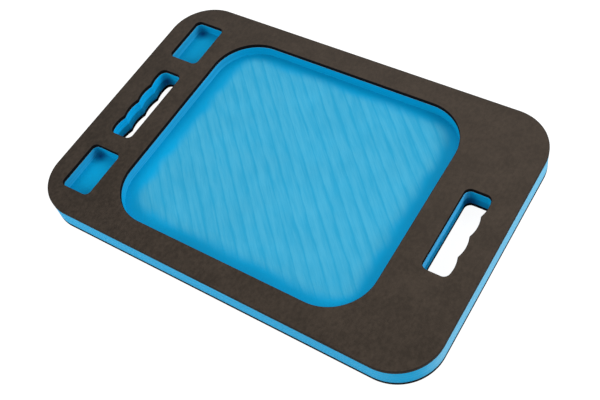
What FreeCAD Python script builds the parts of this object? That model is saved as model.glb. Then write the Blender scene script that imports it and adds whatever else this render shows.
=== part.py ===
import FreeCAD, Part
import math
import os

# A mechanics creeper pad: a flat laminated foam board that a person lies or kneels on under a car.
# A thick blue foam core lies between two thin charcoal foam skins, and a film of adhesive holds
# each skin to the core. A shallow well for the back is cut through the top skin into the core,
# with two small pockets beside it, and a hand slot goes right through the board at each short end.
#
# Millimetres. The origin is at the middle of the underside. +X points along the board to the end
# that has only a hand slot, so the pockets are at -X. +Y points across the board and +Z points up.

# The board
padLength = 620.0
padWidth = 420.0
padCornerRadius = 65.0

# The sheets that it is laminated from, in thickness
skinThickness = 6.0
bondThickness = 0.2
coreThickness = 26.6

# The well, as the width of board left round it
pocketEndBand = 107.5
plainEndBand = 111.5
sideRim = 36.5
wellCornerRadius = 66.5
wellDepth = 21.0

# The hand slots. The gripped side faces the near end of the board and has shallow finger scallops.
slotLength = 132.0
slotWidth = 38.0
slotEndMargin = 35.5
slotCornerRadius = 9.0
fingerCount = 4
fingerDepth = 3.0
cuspRadius = 3.0

# The two pockets, one on each side of the slot between them
pocketEndMargin = 29.5
pocketSideMargin = 37.0
pocketToWell = 28.0
pocketToSlot = 28.5
pocketCornerRadius = 8.0
pocketDepth = 21.0

# A cutter runs this far past the face that it enters by
overcut = 5.0

# Heights and edges that follow from the sizes above
padThickness = 2.0 * (skinThickness + bondThickness) + coreThickness
endX = padLength / 2.0
sideY = padWidth / 2.0


def edgesAt(solid, places):
    """The upright edges of a solid that stand at the given places in plan."""
    found = []
    for edge in solid.Edges:
        points = [vertex.Point for vertex in edge.Vertexes]
        for x, y in places:
            if len(points) == 2 and all(math.hypot(p.x - x, p.y - y) < 1e-6 for p in points):
                found.append(edge)
    return found


def roundedBox(lowX, highX, lowY, highY, lowZ, highZ, radius):
    """A block whose four upright corners have the given radius."""
    corner = FreeCAD.Vector(lowX, lowY, lowZ)
    block = Part.makeBox(highX - lowX, highY - lowY, highZ - lowZ, corner)
    corners = [(x, y) for x in (lowX, highX) for y in (lowY, highY)]
    return block.makeFillet(radius, edgesAt(block, corners))


def board(lowZ, highZ):
    """The full outline of the board between two heights."""
    return roundedBox(-endX, endX, -sideY, sideY, lowZ, highZ, padCornerRadius)


def wellCutter():
    """The space of the well, open at the top."""
    return roundedBox(
        pocketEndBand - endX,
        endX - plainEndBand,
        sideRim - sideY,
        sideY - sideRim,
        padThickness - wellDepth,
        padThickness + overcut,
        wellCornerRadius,
    )


def pocketCutters():
    """The two pockets. Each fills its corner of the end band, up to the webs left round it."""
    lowX = pocketEndMargin - endX
    highX = pocketEndBand - pocketToWell - endX
    innerY = slotLength / 2.0 + pocketToSlot
    outerY = sideY - pocketSideMargin
    floorZ = padThickness - pocketDepth
    topZ = padThickness + overcut
    far = roundedBox(lowX, highX, innerY, outerY, floorZ, topZ, pocketCornerRadius)
    near = roundedBox(lowX, highX, -outerY, -innerY, floorZ, topZ, pocketCornerRadius)
    return [far, near]


def arcAbout(centre, start, end):
    """The arc about a centre from one point to another, on the side that the points are."""
    outward = (start + end) * 0.5 - centre
    middle = centre + outward.normalize() * start.distanceToPoint(centre)
    return Part.Arc(start, middle, end)


def slotCutter():
    """The hand slot of the +X end, right through the board. Its +X side is a row of equal arcs,
    with a small round where two of them meet and a larger one where the last ones meet the ends."""
    crestX = endX - slotEndMargin
    innerX = crestX - slotWidth
    endY = slotLength / 2.0
    pitch = slotLength / fingerCount
    fingerRadius = (pitch**2 / 4.0 + fingerDepth**2) / (2.0 * fingerDepth)
    fingerCentreX = crestX - fingerRadius
    cuspCentreX = fingerCentreX + math.sqrt((fingerRadius + cuspRadius) ** 2 - pitch**2 / 4.0)
    cornerCentreY = endY - slotCornerRadius
    cornerFromFinger = cornerCentreY - (endY - pitch / 2.0)
    cornerReach = math.sqrt((fingerRadius - slotCornerRadius) ** 2 - cornerFromFinger**2)
    cornerCentreX = fingerCentreX + cornerReach

    def point(x, y):
        return FreeCAD.Vector(x, y, -overcut)

    # The centres of the arcs of the gripped side, in order, and the points where one runs into the next
    centres = [point(cornerCentreX, -cornerCentreY)]
    joins = [point(cornerCentreX, -endY)]
    for finger in range(fingerCount):
        middleY = (finger + 0.5) * pitch - endY
        centre = point(fingerCentreX, middleY)
        after = point(cuspCentreX, middleY + pitch / 2.0)
        if finger == fingerCount - 1:
            after = point(cornerCentreX, cornerCentreY)
        for other in (centres[-1], after):
            joins.append(centre + (other - centre).normalize() * fingerRadius)
        centres += [centre, after]
    joins.append(point(cornerCentreX, endY))

    # The straight side and the ends
    insideX = innerX + slotCornerRadius
    centres += [None, point(insideX, cornerCentreY), None, point(insideX, -cornerCentreY), None]
    joins += [point(insideX, endY), point(innerX, cornerCentreY)]
    joins += [point(innerX, -cornerCentreY), point(insideX, -endY), joins[0]]

    sides = []
    for centre, start, end in zip(centres, joins[:-1], joins[1:]):
        side = arcAbout(centre, start, end) if centre else Part.LineSegment(start, end)
        sides.append(side.toShape())
    outline = Part.Wire(sides)
    return Part.Face(outline).extrude(FreeCAD.Vector(0, 0, padThickness + 2.0 * overcut))


def slotCutters():
    """Both hand slots: the -X one is the +X one turned half round."""
    plainEnd = slotCutter()
    pocketEnd = plainEnd.copy()
    pocketEnd.rotate(FreeCAD.Vector(0, 0, 0), FreeCAD.Vector(0, 0, 1), 180.0)
    return [plainEnd, pocketEnd]


def build():
    """Cuts each sheet of the lamination to shape, from the underside up."""
    recesses = [wellCutter()] + pocketCutters()
    slots = slotCutters()
    sheets = [
        ("base_skin", skinThickness),
        ("lower_bond", bondThickness),
        ("core", coreThickness),
        ("upper_bond", bondThickness),
        ("top_skin", skinThickness),
    ]
    os.makedirs("parts", exist_ok=True)
    lowZ = 0.0
    for name, thickness in sheets:
        highZ = lowZ + thickness
        sheet = board(lowZ, highZ).cut(recesses + slots)
        solid = sheet.Solids[0]
        solid.exportStep("parts/" + name + ".step")
        print(name, "solids", len(sheet.Solids), "valid", solid.isValid(), "volume", round(solid.Volume))
        lowZ = highZ


build()
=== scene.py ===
import math

import bpy
import numpy as np
from mathutils import Matrix, Vector, geometry


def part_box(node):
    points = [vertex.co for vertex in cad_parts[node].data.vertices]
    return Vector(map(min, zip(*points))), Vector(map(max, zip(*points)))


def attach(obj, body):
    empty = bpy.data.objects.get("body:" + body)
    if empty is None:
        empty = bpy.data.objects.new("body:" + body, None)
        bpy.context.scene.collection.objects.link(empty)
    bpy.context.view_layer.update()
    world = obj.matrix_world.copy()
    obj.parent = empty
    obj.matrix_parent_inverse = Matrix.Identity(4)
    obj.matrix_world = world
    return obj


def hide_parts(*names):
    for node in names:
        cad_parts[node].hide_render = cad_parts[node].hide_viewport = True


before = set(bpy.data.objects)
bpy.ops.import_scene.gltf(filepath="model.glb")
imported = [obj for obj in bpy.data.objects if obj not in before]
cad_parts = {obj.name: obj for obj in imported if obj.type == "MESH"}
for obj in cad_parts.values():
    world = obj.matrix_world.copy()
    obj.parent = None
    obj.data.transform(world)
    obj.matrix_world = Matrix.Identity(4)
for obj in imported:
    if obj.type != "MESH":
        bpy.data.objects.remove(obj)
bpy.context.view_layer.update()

# A laminated foam creeper board. Everything is in metres, with +X along the board, +Z up.
print("loaded the frame:", sorted(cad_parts))

mm = 0.001


# An outline is a closed loop walked anticlockwise. It is given by its arcs alone, each as
# (centre x, centre y, radius, first angle, last angle) in metres and degrees. The straight
# stretches are what lies between one arc and the next.


def walkOutline(arcs, arcStep, straightStep):
    # a point on an arc is centre + radius (cos a, sin a); where the angle runs backwards the
    # outline bends inwards, so its outward normal is the other way
    points, normals = [], []
    for x, y, radius, first, last in arcs:
        count = max(3, math.ceil(math.radians(abs(last - first)) * radius / arcStep) + 1)
        angle = np.radians(np.linspace(first, last, count))
        spoke = np.stack([np.cos(angle), np.sin(angle)], axis=1)
        points.append(np.array([x, y]) + radius * spoke)
        normals.append(spoke * math.copysign(1, last - first))
    allPoints, allNormals = [], []
    for here, normal, after in zip(points, normals, points[1:] + points[:1]):
        gap = after[0] - here[-1]
        length = np.linalg.norm(gap)
        count = math.ceil(length / straightStep) if length > 1e-6 else 0
        share = np.arange(1, count)[:, None] / max(count, 1)
        touching = count == 0  # the next arc starts on this arc's last point
        allPoints += [here[:-1] if touching else here, here[-1] + share * gap]
        allNormals += [normal[:-1] if touching else normal, np.repeat(normal[-1:], len(share), 0)]
    return np.concatenate(allPoints), np.concatenate(allNormals)


def roundedBox(lowX, highX, lowY, highY, radius):
    # the four corner arcs of a rectangle, anticlockwise from the high corner
    corners = [(highX, highY, 0), (lowX, highY, 90), (lowX, lowY, 180), (highX, lowY, 270)]
    centres = [(x - math.copysign(radius, x - (lowX + highX) / 2),
                y - math.copysign(radius, y - (lowY + highY) / 2), turn) for x, y, turn in corners]
    return [(x, y, radius, turn, turn + 90) for x, y, turn in centres]


def distanceInside(xy, box, radius):
    # how far a point is inside a rounded rectangle: the distance to a smaller box, less the radius
    lowX, highX, lowY, highY = box
    centre = np.array([lowX + highX, lowY + highY]) / 2
    half = np.array([highX - lowX, highY - lowY]) / 2 - radius
    away = np.abs(xy - centre) - half
    outside = np.linalg.norm(np.maximum(away, 0), axis=1) + np.minimum(away.max(axis=1), 0)
    return radius - outside


board = {
    "cornerRadius": 65 * mm,
    "pocketEndBand": 107.5 * mm,  # from the board's -X end to the well
    "plainEndBand": 111.5 * mm,
    "sideRim": 36.5 * mm,
    "wellRadius": 66.5 * mm,
    "wellDepth": 21 * mm,
    "slotLength": 132 * mm,
    "slotWidth": 38 * mm,
    "slotEndMargin": 35.5 * mm,
    "slotCornerRadius": 9 * mm,
    "fingers": 4,
    "fingerDepth": 3 * mm,
    "cuspRadius": 3 * mm,
    "pocketEndMargin": 29.5 * mm,
    "pocketSideMargin": 37 * mm,
    "pocketToWell": 28 * mm,
    "pocketToSlot": 28.5 * mm,
    "pocketRadius": 8 * mm,
}

coreLow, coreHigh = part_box("core")
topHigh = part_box("top_skin")[1]
endX, sideY = topHigh.x, topHigh.y
floorZ = topHigh.z - board["wellDepth"]
wellBox = (board["pocketEndBand"] - endX, endX - board["plainEndBand"],
           board["sideRim"] - sideY, sideY - board["sideRim"])


def slotArcs():
    # the hand slot at the +X end: finger arcs on its +X side, each joined to the next by a small
    # arc that bends the other way, and all four corners round
    fingers, depth = board["fingers"], board["fingerDepth"]
    cusp, corner = board["cuspRadius"], board["slotCornerRadius"]
    endY = board["slotLength"] / 2
    crestX = endX - board["slotEndMargin"]
    insideX = crestX - board["slotWidth"] + corner
    pitch = 2 * endY / fingers
    radius = (pitch**2 / 4 + depth**2) / (2 * depth)
    fingerX = crestX - radius
    cuspX = fingerX + math.sqrt((radius + cusp) ** 2 - pitch**2 / 4)
    cuspTurn = math.degrees(math.asin(pitch / 2 / (radius + cusp)))
    cornerY = endY - corner
    fromFinger = cornerY - (endY - pitch / 2)
    cornerTurn = math.degrees(math.asin(fromFinger / (radius - corner)))
    cornerX = fingerX + (radius - corner) * math.cos(math.radians(cornerTurn))
    arcs = [(cornerX, -cornerY, corner, -90, -cornerTurn)]
    for finger in range(fingers):
        middleY = (finger + 0.5) * pitch - endY
        first = -cornerTurn if finger == 0 else -cuspTurn
        last = cornerTurn if finger == fingers - 1 else cuspTurn
        arcs.append((fingerX, middleY, radius, first, last))
        if finger < fingers - 1:
            arcs.append((cuspX, middleY + pitch / 2, cusp, 180 + cuspTurn, 180 - cuspTurn))
    arcs.append((cornerX, cornerY, corner, cornerTurn, 90))
    arcs.append((insideX, cornerY, corner, 90, 180))
    arcs.append((insideX, -cornerY, corner, 180, 270))
    return arcs


def halfTurn(loop):
    points, normals = loop
    return -points, -normals


def pocketBox(side):
    innerY = board["slotLength"] / 2 + board["pocketToSlot"]
    outerY = sideY - board["pocketSideMargin"]
    lowY, highY = sorted((side * innerY, side * outerY))
    return (board["pocketEndMargin"] - endX, board["pocketEndBand"] - board["pocketToWell"] - endX,
            lowY, highY)


rimLoop = walkOutline(roundedBox(-endX, endX, -sideY, sideY, board["cornerRadius"]), 2 * mm, 6 * mm)
wellLoop = walkOutline(roundedBox(*wellBox, board["wellRadius"]), 2 * mm, 4 * mm)
slotLoop = walkOutline(slotArcs(), 1 * mm, 3 * mm)
slotLoops = [slotLoop, halfTurn(slotLoop)]
pocketLoops = [walkOutline(roundedBox(*pocketBox(side), board["pocketRadius"]), 0.8 * mm, 3 * mm)
               for side in (1, -1)]
print("outlines: rim", len(rimLoop[0]), "well", len(wellLoop[0]), "slot", len(slotLoop[0]))


class Shell:
    # A closed surface put together from walls, which are a profile carried round an outline, and
    # faces, which are flat or gently shaped sheets stretched between the walls' edges.

    # Each point also carries named values between 0 and 1, which its material reads.

    def __init__(self, *names):
        self.points, self.faces, self.count = [], [], 0
        self.values = {name: [] for name in names}

    def addPoints(self, points, **values):
        first = self.count
        self.points.append(points)
        for name, kept in self.values.items():
            kept.append(np.broadcast_to(np.asarray(values.get(name, 0.0), float), (len(points),)))
        self.count += len(points)
        return first + np.arange(len(points))

    def wall(self, loop, profile, hole, rowValues=None, **values):
        # point (i, k) is outline i moved into the foam by the profile's inset k, at its height k;
        # the profile is walked upwards, and rowValues holds a value for each of its rows
        xy, normal = loop
        into = normal if hole else -normal
        rows = []
        for k, (inset, z) in enumerate(np.asarray(profile, float)):
            row = np.column_stack([xy + into * inset, np.full(len(xy), z)])
            ofRow = {name: of[k] for name, of in (rowValues or {}).items()}
            rows.append(self.addPoints(row, **values, **ofRow))
        grid = np.array(rows)
        a, b = grid[:-1], grid[1:]
        quads = np.stack([a, np.roll(a, -1, 1), np.roll(b, -1, 1), b], axis=-1).reshape(-1, 4)
        self.faces.append(quads[:, ::-1] if hole else quads)
        return rows[0], rows[-1]

    def face(self, outer, holes, up, inner=None, **values):
        # triangles between the loops and any points inside them; a triangle whose middle is in a
        # hole is dropped, and faces that look down are turned over
        points = np.concatenate(self.points)
        loops = [outer, *holes]
        extra = np.zeros(0, int)
        if inner is not None and len(inner):
            extra = self.addPoints(inner, **values)
            points = np.concatenate(self.points)
        index = np.concatenate([*loops, extra])
        starts = np.cumsum([0] + [len(loop) for loop in loops])
        edges = [np.stack([np.arange(s, e), np.roll(np.arange(s, e), -1)], 1)
                 for s, e in zip(starts[:-1], starts[1:])]
        flat = points[index, :2]
        made = geometry.delaunay_2d_cdt(flat.tolist(), np.concatenate(edges).tolist(), [], 1, 1e-7)
        assert len(made[0]) == len(index), "the sheet's points were changed"
        triangles = np.array(made[2])
        middle = flat[triangles].mean(axis=1)
        keep = np.ones(len(triangles), bool)
        for hole in holes:
            keep &= ~insideLoop(middle, points[hole, :2])
        triangles = triangles[keep]
        corner = flat[triangles]
        sideA, sideB = corner[:, 1] - corner[:, 0], corner[:, 2] - corner[:, 0]
        facesUp = sideA[:, 0] * sideB[:, 1] - sideA[:, 1] * sideB[:, 0] > 0
        triangles[facesUp != up] = triangles[facesUp != up][:, ::-1]
        self.faces.append(index[triangles])

    def piece(self, name, material):
        points = np.concatenate(self.points)
        mesh = bpy.data.meshes.new(name)
        polygons = [row for block in self.faces for row in block.tolist()]
        mesh.from_pydata(points.tolist(), [], polygons)
        for valueName, kept in self.values.items():
            attribute = mesh.attributes.new(valueName, "FLOAT", "POINT")
            attribute.data.foreach_set("value", np.concatenate(kept).astype(np.float32))
        mesh.shade_smooth()
        mesh.materials.append(material)
        mesh.validate()
        mesh.update()
        piece = bpy.data.objects.new(name, mesh)
        bpy.context.scene.collection.objects.link(piece)
        print("piece", name, "points", len(mesh.vertices), "faces", len(mesh.polygons))
        return piece


def insideLoop(xy, loop):
    # even-odd rule, for the points that are in the loop's box: count the sides that a ray crosses
    low, high = loop.min(axis=0), loop.max(axis=0)
    inside = ((xy > low) & (xy < high)).all(axis=1)
    near = xy[inside]
    ax, ay = loop[:, 0], loop[:, 1]
    bx, by = np.roll(ax, -1), np.roll(ay, -1)
    rise = np.where(by == ay, 1e-12, by - ay)
    x, y = near[:, :1], near[:, 1:]
    crosses = ((ay > y) != (by > y)) & (x < ax + (y - ay) * (bx - ax) / rise)
    inside[inside] = crosses.sum(axis=1) % 2 == 1
    return inside


def clearOf(xy, loop, margin):
    # the points that are at least a margin away from every side of a loop
    side = np.roll(loop, -1, axis=0) - loop
    squaredLength = (side**2).sum(axis=1)
    near = ((xy > loop.min(0) - margin) & (xy < loop.max(0) + margin)).all(axis=1)
    clear = np.ones(len(xy), bool)
    for part in np.array_split(np.flatnonzero(near), max(1, near.sum() // 2000)):
        gap = xy[part, None, :] - loop
        along = np.clip((gap * side).sum(axis=2) / squaredLength, 0, 1)
        clear[part] = np.linalg.norm(gap - along[..., None] * side, axis=2).min(axis=1) > margin
    return clear


def easedEdge(z, radius, upwards):
    # a quarter circle from the wall to the flat face: inset r (1 - cos a), height r (1 - sin a)
    # short of the face; then one more row on the face, which keeps its shading flat
    angle = np.radians([0, 30, 60, 90])
    direction = 1 if upwards else -1
    inset = radius * (1 - np.cos(angle))
    height = z - direction * radius * (1 - np.sin(angle))
    return np.vstack([np.column_stack([inset, height]), [radius * 2.2, z]])


def lattice(box, acrossStep, alongStep, turn):
    # a grid of points over a box, turned about its middle; every other row is moved half a step
    lowX, highX, lowY, highY = box
    reach = math.hypot(highX - lowX, highY - lowY) / 2
    across = np.arange(-reach, reach, acrossStep)
    along = np.arange(-reach, reach, alongStep)
    u, v = np.meshgrid(across, along, indexing="ij")
    v = v + (np.arange(len(across))[:, None] % 2) * alongStep / 2
    c, s = math.cos(math.radians(turn)), math.sin(math.radians(turn))
    middle = np.array([lowX + highX, lowY + highY]) / 2
    points = np.column_stack([(c * u - s * v).ravel(), (s * u + c * v).ravel()]) + middle
    keep = (points > [lowX, lowY]).all(axis=1) & (points < [highX, highY]).all(axis=1)
    return points[keep]


class Wire:
    # one socket's value in a sum; each operator adds a Math node

    def __init__(self, sheet, socket):
        self.sheet, self.socket = sheet, socket

    def maths(self, operation, *others):
        values = dict(enumerate([self, *others]))
        return self.sheet.node("ShaderNodeMath", {"operation": operation}, values)

    def __add__(self, other):
        return self.maths("ADD", other)

    def __sub__(self, other):
        return self.maths("SUBTRACT", other)

    def __rsub__(self, other):
        return self.sheet.value(other, "SUBTRACT", self)

    def __mul__(self, other):
        return self.maths("MULTIPLY", other)

    def __truediv__(self, other):
        return self.maths("DIVIDE", other)

    def __pow__(self, other):
        return self.maths("POWER", other)

    __radd__ = __add__
    __rmul__ = __mul__


class Sheet:
    # a material under construction

    def __init__(self, name, roughness, specular):
        self.material = bpy.data.materials.new(name)
        self.material.use_nodes = True
        self.tree = self.material.node_tree
        self.shader = self.tree.nodes["Principled BSDF"]
        self.shader.inputs["Roughness"].default_value = roughness
        self.shader.inputs["Specular IOR Level"].default_value = specular

    def node(self, kind, settings, values, output=0):
        # makes a node, sets it up, then fills its sockets with values or links
        made = self.tree.nodes.new(kind)
        for key, value in settings.items():
            setattr(made, key, value)
        for key, value in values.items():
            if isinstance(value, Wire):
                self.tree.links.new(value.socket, made.inputs[key])
            else:
                made.inputs[key].default_value = value
        return Wire(self, made.outputs[output])

    def value(self, first, operation, second):
        return self.node("ShaderNodeMath", {"operation": operation}, {0: first, 1: second})

    def place(self):
        return self.node("ShaderNodeTexCoord", {}, {}, "Object")

    def split(self, vector):
        first = self.node("ShaderNodeSeparateXYZ", {}, {0: vector})
        outputs = first.socket.node.outputs
        return [Wire(self, outputs[axis]) for axis in "XYZ"]

    def join(self, x, y, z):
        return self.node("ShaderNodeCombineXYZ", {}, {0: x, 1: y, 2: z})

    def noise(self, vector, scale, detail=2.0, rough=0.5):
        values = {"Vector": vector, "Scale": scale, "Detail": detail, "Roughness": rough}
        return self.node("ShaderNodeTexNoise", {}, values, "Fac")

    def tag(self, name):
        return self.node("ShaderNodeAttribute", {"attribute_name": name}, {}, "Fac")

    def mix(self, share, first, second, blend="MIX"):
        settings = {"data_type": "RGBA", "blend_type": blend, "clamp_factor": True}
        return self.node("ShaderNodeMix", settings, {0: share, 6: first, 7: second}, 2)

    def bump(self, height, depthAndStrength, under=None):
        distance, strength = depthAndStrength
        values = {"Height": height, "Distance": distance, "Strength": strength}
        if under:
            values["Normal"] = under
        return self.node("ShaderNodeBump", {}, values, "Normal")

    def feed(self, shader, **inputs):
        names = {"colour": "Base Color", "roughness": "Roughness", "normal": "Normal"}
        for key, wire in inputs.items():
            self.tree.links.new(wire.socket, shader.inputs[names[key]])

    def secondFinish(self, share, roughness, specular):
        # another shader, which takes over where share is 1
        second = self.tree.nodes.new("ShaderNodeBsdfPrincipled")
        second.inputs["Roughness"].default_value = roughness
        second.inputs["Specular IOR Level"].default_value = specular
        both = self.tree.nodes.new("ShaderNodeMixShader")
        self.tree.links.new(share.socket, both.inputs[0])
        self.tree.links.new(self.shader.outputs[0], both.inputs[1])
        self.tree.links.new(second.outputs[0], both.inputs[2])
        self.tree.links.new(both.outputs[0], self.tree.nodes["Material Output"].inputs["Surface"])
        return second


coreFoam = {
    "cutColour": (0.0, 0.305, 0.560, 1),  # the walls of the recesses
    "lapAndShadeColour": (0.0, 0.238, 0.450, 1),  # the floor of a recess where no passes show, round the well's edge and over the pockets: a smooth last lap, and painted shade, darker than the open floor
    "slotPaintedLightColour": (0.0, 0.390, 0.780, 1),  # painted light: the hand slots' walls that face +X are lighter, as if lit from that side
    "sideColour": (0.0, 0.325, 0.620, 1),  # the outer sides, which a knife cut
    "frostColour": (0.150, 0.440, 0.640, 1),  # a pale veil: painted sheen on the board's ends and sides and on the walls that face +X
    "floorColour": (0.041, 0.285, 0.445, 1),  # the floor, combed by the cutter's passes
    "floorDip": (0.016, 0.245, 0.415, 1),
    "roughness": 0.62,
    "specular": 0.06,
    "sideRoughness": 0.5,
    "sideSpecular": 0.04,
    "sidePaintedSheen": 0.22,  # painted sheen on the long sides; the round corners have none
    "endPaintedSheen": 0.85,  # painted sheen on the short ends
    "wellPaintedSheen": 0.10,
    "cornerShadeColour": (0.0, 0.035, 0.150, 1),  # painted shade in the -X +Y corner of each pocket and slot
    "cornerShadeReach": 17 * mm,
    "slotCornerShadeInset": (4 * mm, 3 * mm),  # from the slot's -X side and its +Y end
    "slotCornerShadeHeights": (9 * mm, 14 * mm),  # in the +X slot and in the -X slot
    "pocketCornerShadeInset": (7 * mm, 6 * mm),
    "slotPaintedSheen": 0.35,
    "passWidth": 17.1 * mm,  # one pass of the cutter, at 45 degrees across the well
    "passHeight": 0.22 * mm,
    "passShift": 4 * mm,
    "passDrift": 5 * mm,  # how far a pass's colour strays from its place
    "lapAndShadeWidth": 25 * mm,  # the last lap along the wall, which wipes the passes out; the floor there is painted darker as shade
    "lapAndShadeSoftness": 9 * mm,
    "lapAndShadeRadius": 32 * mm,
    "cellSize": 0.8 * mm,
    "cellBump": (0.12 * mm, 0.5),  # depth and strength
    "combBump": (0.35 * mm, 0.6),
    "sawBump": (0.12 * mm, 0.5),
    "sawContrast": 0.55,
    "cloudContrast": 0.12,
    "streakRoughness": 0.18,
    "fillet": 0.35 * mm,  # the cut edges are a little soft
    "sideBow": 0.25 * mm,  # a knife leaves the cut side very slightly hollow
    "gridClear": 2.2 * mm,  # the floor's grid of points stops this far from its wall
    "pocketPass": 0.15,  # the pockets' passes, as a share of the well's height
}


def smoothStep(value, low, high):
    share = np.clip((value - low) / (high - low), 0, 1)
    return share * share * (3 - 2 * share)


def passShare(xy):
    # 1 where the floor carries the cutter's passes, falling to 0 over the last lap by the wall, where
    # the floor is painted darker as shade; the band is narrower along the +Y wall
    lap, soft = coreFoam["lapAndShadeWidth"], coreFoam["lapAndShadeSoftness"]
    inner = [wellBox[0] + lap, wellBox[1] - lap, wellBox[2] + lap, wellBox[3] - lap * 0.65]
    inside = distanceInside(xy, inner, coreFoam["lapAndShadeRadius"])
    # its edge wanders: two slow sines of x and y added together, up to 3 mm either way
    x, y = xy[:, 0] / mm, xy[:, 1] / mm
    ragged = np.sin(x / 17 - y / 11) + np.sin(y / 7 + x / 23)
    return smoothStep(inside + 1.5 * mm * ragged, -soft, soft)


def passHeight(xy):
    # across runs square to the passes; each pass is a shallow hollow between two soft ridges,
    # |sin| of the way across. The ridges wander by two sines added together, 0.7 and 0.5 mm high
    across = (xy[:, 0] + xy[:, 1]) / math.sqrt(2) - coreFoam["passShift"]
    along = (xy[:, 0] - xy[:, 1]) / math.sqrt(2)
    slow = np.sin(along / (31 * mm))
    quick = np.sin(along / (13 * mm) + across / (9 * mm))
    wander = 0.7 * mm * slow + 0.5 * mm * quick
    turn = np.pi * (across + wander) / coreFoam["passWidth"]
    return coreFoam["passHeight"] * (0.5 - np.abs(np.sin(turn)))


def facingPlusX(loop, power):
    # 1 where a recess's wall faces +X, and less as it turns away, by a power of the cosine; it places
    # painted light and painted sheen on those walls
    return np.maximum(-loop[1][:, 0], 0) ** power


def frostOf(facing, ends, sides):
    # painted sheen on a straight side or end and none on a round corner: the eighth power of the way
    # that it faces
    return ends * np.abs(facing[:, 0]) ** 8 + sides * np.abs(facing[:, 1]) ** 8


def cornerShadeSpots(points):
    # painted shade: 1 at a spot's centre and 0 beyond its reach: (1 - distance / reach) to the power
    # 1.5. Each pocket has one in the -X +Y corner of its floor, and each slot has one in that corner,
    # part way up
    insetX, insetY = coreFoam["slotCornerShadeInset"]
    plainZ, pocketZ = coreFoam["slotCornerShadeHeights"]
    slotY = board["slotLength"] / 2 - insetY
    plainX = endX - board["slotEndMargin"] - board["slotWidth"] + insetX
    pocketX = board["slotEndMargin"] - endX + insetX
    centres = [(plainX, slotY, plainZ), (pocketX, slotY, pocketZ)]
    insetX, insetY = coreFoam["pocketCornerShadeInset"]
    for side in (1, -1):
        lowX, _, _, highY = pocketBox(side)
        centres.append((lowX + insetX, highY - insetY, floorZ))
    cornerShade = np.zeros(len(points))
    for centre in centres:
        distance = np.linalg.norm(points - np.array(centre), axis=1)
        cornerShade = np.maximum(cornerShade, np.clip(1 - distance / coreFoam["cornerShadeReach"], 0, 1) ** 1.5)
    return cornerShade


def makeCoreMaterial():
    sheet = Sheet("blueFoam", coreFoam["roughness"], coreFoam["specular"])
    place = sheet.place()
    x, y, z = sheet.split(place)
    across = (x + y) * (1 / math.sqrt(2)) - coreFoam["passShift"]
    along = (x - y) * (1 / math.sqrt(2))
    routed = sheet.tag("routed")
    frost = sheet.tag("frost")

    # the passes: dark along each ridge, with finer streaks left by the cutter's teeth
    def combed(alongScale, acrossScale, layer, rough=0.5):
        # noise drawn out along the passes; each layer is another pattern
        drawnOut = sheet.join(along * alongScale, across * acrossScale, layer)
        return sheet.noise(drawnOut, 1.0, 2.0, rough)

    drift = (combed(16, 40, 0.0) - 0.5) * coreFoam["passDrift"]
    lane = ((across + drift) / coreFoam["passWidth"]).maths("FRACT")
    ridge = (lane - 0.5).maths("ABSOLUTE") * 2
    broken = combed(30, 90, 7.3)
    streaks = combed(18, 190, 1.7, 0.6)
    fine = combed(40, 700, 4.1, 0.6)
    line = (ridge ** 6.0) * (broken * 1.5)
    shade = (lane - 0.5) * 0.6 + (broken - 0.5) * 0.7
    dip = 0.35 + line * 1.1 + shade + (streaks - 0.5) * 1.7 + (fine - 0.5) * 0.8
    floorColour = sheet.mix(dip, coreFoam["floorColour"], coreFoam["floorDip"])
    onFloor = sheet.value(z, "LESS_THAN", floorZ + 0.3 * mm)
    # painted light: the slot walls that face +X take the lighter slot colour
    wallColour = sheet.mix(sheet.tag("slotPaintedLight"), coreFoam["cutColour"], coreFoam["slotPaintedLightColour"])
    # painted sheen: a pale veil mixed in by the sheen value
    wallColour = sheet.mix(frost, wallColour, coreFoam["frostColour"])
    # a recess's floor takes the lap colour where it has no passes: painted shade along the walls and
    # over the pockets' floors
    cutColour = sheet.mix(onFloor, wallColour, coreFoam["lapAndShadeColour"])
    # painted shade: darker spots in the -X +Y corners of the pockets and slots
    cutColour = sheet.mix(sheet.tag("cornerShade"), cutColour, coreFoam["cornerShadeColour"])
    colour = sheet.mix(routed, cutColour, floorColour)

    # slow unevenness of the foam, and faint lines along the cut walls
    cloud = sheet.noise(place, 22.0, 2.0)
    saw = sheet.noise(sheet.join(x * 4, y * 4, z * 330), 1.0, 2.0, 0.6)
    wallLines = (saw - 0.5) * coreFoam["sawContrast"] * (1 - routed)
    tint = 1 + (cloud - 0.5) * coreFoam["cloudContrast"] + wallLines
    colour = sheet.mix(1.0, colour, sheet.join(tint, tint, tint), "MULTIPLY")

    cells = sheet.node("ShaderNodeTexVoronoi", {"feature": "F1"},
                       {"Vector": place, "Scale": 1 / coreFoam["cellSize"]}, "Distance")
    combing = (streaks * 0.7 + fine * 0.6) * routed
    normal = sheet.bump(combing, coreFoam["combBump"])
    normal = sheet.bump(cells, coreFoam["cellBump"], normal)
    normal = sheet.bump(saw * (1 - routed), coreFoam["sawBump"], normal)
    roughness = coreFoam["roughness"] + (streaks - 0.5) * coreFoam["streakRoughness"] * routed
    sheet.feed(sheet.shader, colour=colour, roughness=roughness, normal=normal)

    side = sheet.secondFinish(sheet.tag("side"), coreFoam["sideRoughness"], coreFoam["sideSpecular"])
    # the outer sides take the painted sheen as well
    sideColour = sheet.mix(frost, coreFoam["sideColour"], coreFoam["frostColour"])
    sideColour = sheet.mix(1.0, sideColour, sheet.join(tint, tint, tint), "MULTIPLY")
    sheet.feed(side, colour=sideColour, normal=normal)
    return sheet.material


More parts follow.
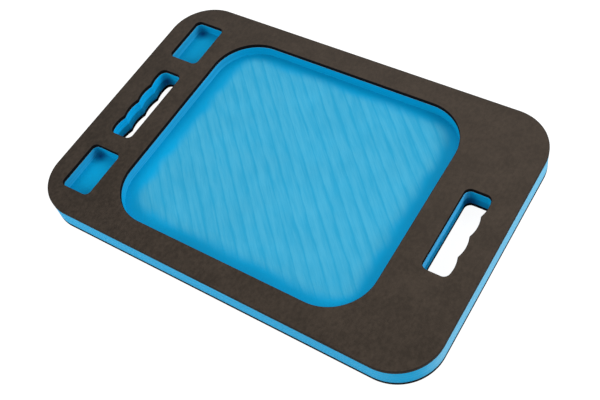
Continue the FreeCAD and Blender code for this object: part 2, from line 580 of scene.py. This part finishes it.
def makeCore(material):
    low, high = coreLow.z, coreHigh.z
    edge, bow = coreFoam["fillet"], coreFoam["sideBow"]
    shell = Shell("routed", "side", "slotPaintedLight", "frost")
    middle = [(bow * math.sin(math.pi * k / 6), low + (high - low) * k / 6) for k in range(1, 6)]
    sideProfile = np.vstack([easedEdge(low, edge, False)[::-1], middle, easedEdge(high, edge, True)])
    # painted sheen on the outer sides, most on the ends and none on the round corners
    rimPaintedSheen = frostOf(rimLoop[1], coreFoam["endPaintedSheen"], coreFoam["sidePaintedSheen"])
    rimBottom, rimTop = shell.wall(rimLoop, sideProfile, False, side=1.0, frost=rimPaintedSheen)
    slotEnds = []
    # the +X slot's walls that face +X take painted sheen too; the -X slot's take none
    for loop, frost in zip(slotLoops, (coreFoam["slotPaintedSheen"], 0.0)):
        # painted light on the slot walls that face +X, by the square of that facing
        facingEnd = facingPlusX(loop, 2)
        values = {"slotPaintedLight": facingEnd, "frost": frost * facingEnd}
        slotEnds.append(shell.wall(loop, sideProfile, True, **values))

    # a recess: from a tight fillet on the floor, inset -edge (1 - cos a) and height edge (1 - sin a),
    # up to the underside of the skin
    turn = np.radians([90, 60, 30, 0])
    fillet = np.column_stack([edge * (np.cos(turn) - 1), floorZ + edge * (1 - np.sin(turn))])
    steps = [(0, floorZ + (high - floorZ) * k / 4) for k in range(1, 4)]
    recess = np.vstack([[-2.4 * edge, floorZ], fillet, steps, easedEdge(high, edge, True)])
    # a little painted sheen on the walls of the well and the pockets that face +X
    wellPaintedSheen = coreFoam["wellPaintedSheen"] * facingPlusX(wellLoop, 6)
    wellBottom, wellTop = shell.wall(wellLoop, recess, True, frost=wellPaintedSheen)
    pockets = []
    for loop in pocketLoops:
        pocketPaintedSheen = coreFoam["wellPaintedSheen"] * facingPlusX(loop, 6)
        pockets.append(shell.wall(loop, recess, True, frost=pocketPaintedSheen))
    shell.face(rimTop, [wellTop, *[p[1] for p in pockets], *[s[1] for s in slotEnds]], True)
    shell.face(rimBottom, [s[0] for s in slotEnds], False)

    acrossStep = coreFoam["passWidth"] / 10
    grid = lattice(wellBox, acrossStep, 4 * mm, 45)
    grid = grid[distanceInside(grid, wellBox, board["wellRadius"]) > coreFoam["gridClear"]]
    share = passShare(grid)
    inner = np.column_stack([grid, floorZ + share * passHeight(grid)])
    shell.face(wellBottom, [], True, inner, routed=share)
    for side, (bottom, _) in zip((1, -1), pockets):
        box = pocketBox(side)
        grid = lattice(box, acrossStep, 3 * mm, 45)
        inside = distanceInside(grid, box, board["pocketRadius"])
        clear = inside > coreFoam["gridClear"]
        grid, inside = grid[clear], inside[clear]
        flat = coreFoam["pocketPass"] * smoothStep(inside, 4 * mm, 14 * mm)
        inner = np.column_stack([grid, floorZ + flat * passHeight(grid)])
        shell.face(bottom, [], True, inner)
    # where the painted shade spots go
    shell.values["cornerShade"] = [cornerShadeSpots(np.concatenate(shell.points))]
    return shell.piece("core_foam", material)


skinFoam = {
    "faceColour": (0.0205, 0.0154, 0.0114, 1),  # the moulded surface of the sheet
    "faceShade": (0.004, 0.003, 0.002, 1),
    "cutColour": (0.004, 0.004, 0.004, 1),
    "roughness": 0.55,
    "specular": 0.38,
    "cutSpecular": 0.05,
    "specularTint": (1.0, 0.78, 0.62, 1),
    "edgeRadius": 0.7 * mm,
    "ripple": 0.12 * mm,
    "gridStep": 6 * mm,
    "gridClear": 4 * mm,
    "cloudContrast": 1.5,
    "grainContrast": 2.8,
    "poreSize": 1.1 * mm,
    "grainBump": (0.35 * mm, 0.5),
    "poreBump": (0.10 * mm, 0.5),
    "cutRoughness": 0.7,
}


def makeSkinMaterial():
    sheet = Sheet("charcoalSkin", skinFoam["roughness"], skinFoam["specular"])
    sheet.shader.inputs["Specular Tint"].default_value = skinFoam["specularTint"]
    place = sheet.place()
    x, y, z = sheet.split(place)
    cut = sheet.tag("cut")
    cloud = sheet.noise(place, 26.0, 3.0, 0.6)
    grain = sheet.noise(sheet.join(x * 210, y * 150, z * 200), 1.0, 4.0, 0.7)
    share = (cloud - 0.5) * skinFoam["cloudContrast"] + (grain - 0.5) * skinFoam["grainContrast"] + 0.42
    face = sheet.mix(share, skinFoam["faceShade"], skinFoam["faceColour"])
    colour = sheet.mix(cut, face, skinFoam["cutColour"])
    pores = sheet.node("ShaderNodeTexVoronoi", {"feature": "F1"},
                       {"Vector": place, "Scale": 1 / skinFoam["poreSize"]}, "Distance")
    normal = sheet.bump(grain, skinFoam["grainBump"])
    normal = sheet.bump(pores, skinFoam["poreBump"], normal)
    roughness = skinFoam["roughness"] + (grain - 0.5) * 0.25
    sheet.feed(sheet.shader, colour=colour, roughness=roughness, normal=normal)
    edge = sheet.secondFinish(cut, skinFoam["cutRoughness"], skinFoam["cutSpecular"])
    sheet.feed(edge, colour=colour, normal=normal)
    return sheet.material


def makeSkin(name, low, high, holeLoops, rimShade, material):
    # a sheet with eased edges. Its faces sink by up to the ripple's height over hand widths: by
    # half of it times 1 - sin(x / 27 + 1.3 sin(y / 41)) sin(y / 33 + 0.7), with x and y in mm
    radius, step, clear = skinFoam["edgeRadius"], skinFoam["gridStep"], skinFoam["gridClear"]
    box = (-endX, endX, -sideY, sideY)
    shell = Shell("cut")
    profile = np.vstack([easedEdge(low, radius, False)[::-1], easedEdge(high, radius, True)])
    rowCut = np.repeat([0.0, 1.0, 0.0], [2, len(profile) - 4, 2])  # all but the two faces
    # the outer cut edge takes rimShade of the black cut colour: painted light on the top sheet's, which
    # is lighter than the base sheet's
    outer = shell.wall(rimLoop, profile, False, {"cut": rowCut * rimShade})
    holes = [shell.wall(loop, profile, True, {"cut": rowCut}) for loop in holeLoops]
    for end, z, up in ((0, low, False), (1, high, True)):
        grid = lattice(box, step, step * 1.15, 0)
        grid = grid[distanceInside(grid, box, board["cornerRadius"]) > clear]
        for loop, _ in holeLoops:
            grid = grid[~insideLoop(grid, loop) & clearOf(grid, loop, clear)]
        ripple = np.sin(grid[:, 0] / (27 * mm) + 1.3 * np.sin(grid[:, 1] / (41 * mm)))
        ripple = ripple * np.sin(grid[:, 1] / (33 * mm) + 0.7) - 1
        rise = (0.5 if up else -0.5) * skinFoam["ripple"] * ripple
        inner = np.column_stack([grid, z + rise])
        shell.face(outer[end], [hole[end] for hole in holes], up, inner)
    return shell.piece(name, material)


film = {
    "colour": (0.05, 0.05, 0.055, 1),
    "darkColour": (0.03, 0.03, 0.035, 1),
    "roughness": 0.425,
    "smearRoughness": 0.25,
    "inset": 0.15 * mm,
}


def makeFilmMaterial():
    sheet = Sheet("bondFilm", film["roughness"], 0.5)
    smear = sheet.noise(sheet.place(), 90.0, 3.0, 0.6)
    colour = sheet.mix(smear, film["darkColour"], film["colour"])
    roughness = film["roughness"] + (smear - 0.5) * film["smearRoughness"]
    sheet.feed(sheet.shader, colour=colour, roughness=roughness)
    return sheet.material


def makeFilm(name, low, high, holeLoops, material):
    shell = Shell()
    profile = [(film["inset"], low), (film["inset"], high)]
    outer = shell.wall(rimLoop, profile, False)
    holes = [shell.wall(loop, profile, True) for loop in holeLoops]
    for end, up in ((0, False), (1, True)):
        shell.face(outer[end], [hole[end] for hole in holes], up)
    return shell.piece(name, material)


def finishPiece(piece, node):
    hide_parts(node)
    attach(piece, "root")


skinMaterial = makeSkinMaterial()
filmMaterial = makeFilmMaterial()
allLoops = [wellLoop, *pocketLoops, *slotLoops]
finishPiece(makeCore(makeCoreMaterial()), "core")
# the top sheet's outer cut edge is painted lighter, as if lit from above, with 0.6 of the black cut
# colour; the base sheet's keeps all of it
for node, loops, rimShade in (("top_skin", allLoops, 0.6), ("base_skin", slotLoops, 1.0)):
    low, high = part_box(node)
    skin = makeSkin(node + "_sheet", low.z, high.z, loops, rimShade, skinMaterial)
    finishPiece(skin, node)
for node, loops in (("upper_bond", allLoops), ("lower_bond", slotLoops)):
    low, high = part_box(node)
    bond = makeFilm(node + "_film", low.z, high.z, loops, filmMaterial)
    finishPiece(bond, node)
print("board built")


studio = {
    "floorSize": 8.0,
    "floorZ": -0.1 * mm,  # a hair below the board, so that the two don't share a plane
    "floorColour": (0.15, 0.15, 0.15, 1),
    "floorBounce": (0.62, 0.62, 0.62, 1),
    "floorGlow": 0.93,
    "floorRoughness": 0.9,
    "floorSpecular": 0.1,
    "skyLight": 0.6,
    "skySeen": 1.05,
}


def makeFloor():
    half = studio["floorSize"] / 2
    mesh = bpy.data.meshes.new("studio_floor")
    z = studio["floorZ"]
    corners = np.array([[-half, -half, z], [half, -half, z], [half, half, z], [-half, half, z]])
    mesh.from_pydata(corners.tolist(), [], [(0, 1, 2, 3)])
    floor = bpy.data.objects.new("studio_floor", mesh)
    bpy.context.scene.collection.objects.link(floor)
    # the floor is a light table to the eye, but it lights the board only as a pale table would
    rough, specular = studio["floorRoughness"], studio["floorSpecular"]
    sheet = Sheet("paleFloor", rough, specular)
    sheet.shader.inputs["Base Color"].default_value = studio["floorBounce"]
    seenShare = sheet.node("ShaderNodeLightPath", {}, {}, "Is Camera Ray")
    seen = sheet.secondFinish(seenShare, rough, specular)
    seen.inputs["Base Color"].default_value = studio["floorColour"]
    seen.inputs["Emission Color"].default_value = (1, 1, 1, 1)
    seen.inputs["Emission Strength"].default_value = studio["floorGlow"]
    mesh.materials.append(sheet.material)


def makeSky():
    # the eye sees the same white as the floor; the board is lit by a softer one
    world = bpy.data.worlds.new("softSky")
    bpy.context.scene.world = world
    world.use_nodes = True
    tree = world.node_tree
    background = tree.nodes["Background"]
    ray = tree.nodes.new("ShaderNodeLightPath")
    strength = tree.nodes.new("ShaderNodeMapRange")
    strength.inputs["To Min"].default_value = studio["skyLight"]
    strength.inputs["To Max"].default_value = studio["skySeen"]
    tree.links.new(ray.outputs["Is Camera Ray"], strength.inputs["Value"])
    tree.links.new(strength.outputs["Result"], background.inputs["Strength"])
    background.inputs["Color"].default_value = (1, 1, 1, 1)


# Each light's azimuth is measured from +Y towards +X; lengths are in metres and power in watts.
softboxes = {
    "softboxRight": {"azimuth": 66, "elevation": 35, "distance": 2.2, "size": (1.6, 0.9), "power": 34},
    "softboxNear": {"azimuth": 208, "elevation": 36, "distance": 2.2, "size": (1.6, 1.0), "power": 28},
    "softboxFar": {"azimuth": -15, "elevation": 55, "distance": 1.5, "size": (1.5, 0.7), "power": 9},
}


def makeSoftbox(name, azimuth, elevation, distance, size, power):
    data = bpy.data.lights.new(name, "AREA")
    data.shape = "RECTANGLE"
    data.size, data.size_y = size
    data.energy = power
    light = bpy.data.objects.new(name, data)
    bpy.context.scene.collection.objects.link(light)
    a, e = math.radians(azimuth), math.radians(elevation)
    place = distance * Vector((math.sin(a) * math.cos(e), math.cos(a) * math.cos(e), math.sin(e)))
    light.matrix_world = Matrix.Translation(place) @ place.to_track_quat("Z", "Y").to_matrix().to_4x4()


# The camera stands off the near right corner, looking down, and is rolled so that the board runs
# down to the right. Azimuth 0 would look along +Y.
camera = {
    "aim": (0.048, -0.047),
    "azimuth": -44.97,
    "elevation": 54.94,
    "roll": -15.96,
    "distance": 1.171,
    "lens": 52.7,
}


def makeCamera():
    data = bpy.data.cameras.new("camera")
    data.lens = camera["lens"]
    data.sensor_width = 36
    data.sensor_fit = "HORIZONTAL"
    eye = bpy.data.objects.new("camera", data)
    bpy.context.scene.collection.objects.link(eye)
    a, e = math.radians(camera["azimuth"]), math.radians(camera["elevation"])
    ahead = Vector((math.sin(a) * math.cos(e), math.cos(a) * math.cos(e), -math.sin(e)))
    right = ahead.cross(Vector((0, 0, 1))).normalized()
    turn = Matrix((right, right.cross(ahead), -ahead)).transposed()
    roll = Matrix.Rotation(math.radians(camera["roll"]), 3, "Z")
    target = Vector((*camera["aim"], topHigh.z))
    eye.matrix_world = Matrix.Translation(target - camera["distance"] * ahead) @ (turn @ roll).to_4x4()
    bpy.context.scene.camera = eye


makeFloor()
makeSky()
for name, softbox in softboxes.items():
    makeSoftbox(name, **softbox)
makeCamera()
bpy.context.scene.view_settings.view_transform = "Standard"
print("studio lit and camera placed")
